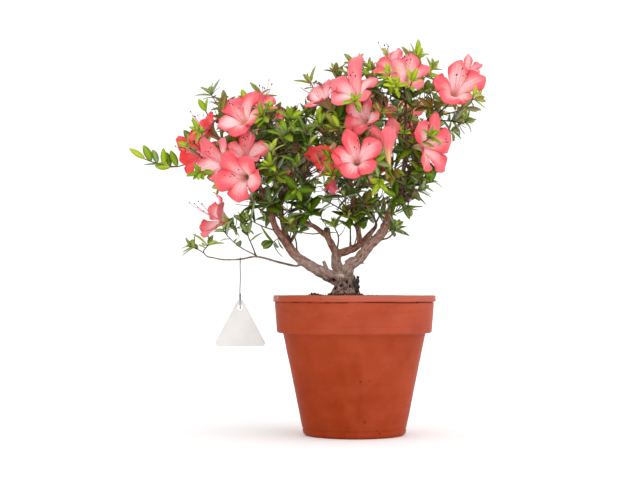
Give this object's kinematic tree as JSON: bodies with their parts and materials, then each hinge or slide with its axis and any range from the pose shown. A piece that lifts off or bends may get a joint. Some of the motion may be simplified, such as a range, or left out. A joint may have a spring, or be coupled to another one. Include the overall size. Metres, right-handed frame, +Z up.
{
  "type": "potted bonsai azalea",
  "caption": "Small flowering bonsai azalea with a forked trunk, slim boughs, coral blooms and a plain hanging tag, in a round terracotta pot with a flat foot.",
  "frame": {"origin": "on the ground under the pot's axis, at the middle of the pot's flat underside", "axes": "+Z up along the pot's axis, -Y towards the front with the tag, +X to the right seen from the front"},
  "size_m": [0.4035, 0.2366, 0.4441],
  "materials": {
    "terracotta": "matt",
    "soil": "matt",
    "bark": "matt",
    "young_bark": "matt",
    "leaf": "satin",
    "petal": "satin",
    "tag_plastic": "satin",
    "wire": "matt"
  },
  "bodies": {
    "root": {"pot": "terracotta", "soil": "soil", "trunk": "bark", "bough_left": "bark", "bough_left_outer": "bark", "bough_left_inner": "young_bark", "bough_middle": "bark", "bough_middle_left": "bark", "bough_middle_right": "bark", "branch_left_low": "bark", "bough_centre": "young_bark", "bough_right": "bark", "bough_right_top": "bark", "tag_twig": "young_bark", "tag": "tag_plastic", "tag_wire": "wire", "foliage_left_tip": "leaf", "foliage_left_top": "leaf", "foliage_left_front": "leaf", "foliage_left_back": "leaf", "foliage_left_low": "leaf", "foliage_mid_front": "leaf", "foliage_mid_top": "leaf", "foliage_mid_back": "leaf", "foliage_shoot_left": "leaf", "foliage_shoot_middle": "leaf", "foliage_centre_low": "leaf", "foliage_centre_front": "leaf", "foliage_centre_top": "leaf", "foliage_centre_back": "leaf", "foliage_back_low": "leaf", "foliage_right_sprig": "leaf", "foliage_right_low": "leaf", "foliage_right_side": "leaf", "foliage_right_outer": "leaf", "foliage_right_top": "leaf", "foliage_right_back": "leaf", "foliage_tag_rise": "leaf", "foliage_tag_tip": "leaf"}
  },
  "joints": []
}
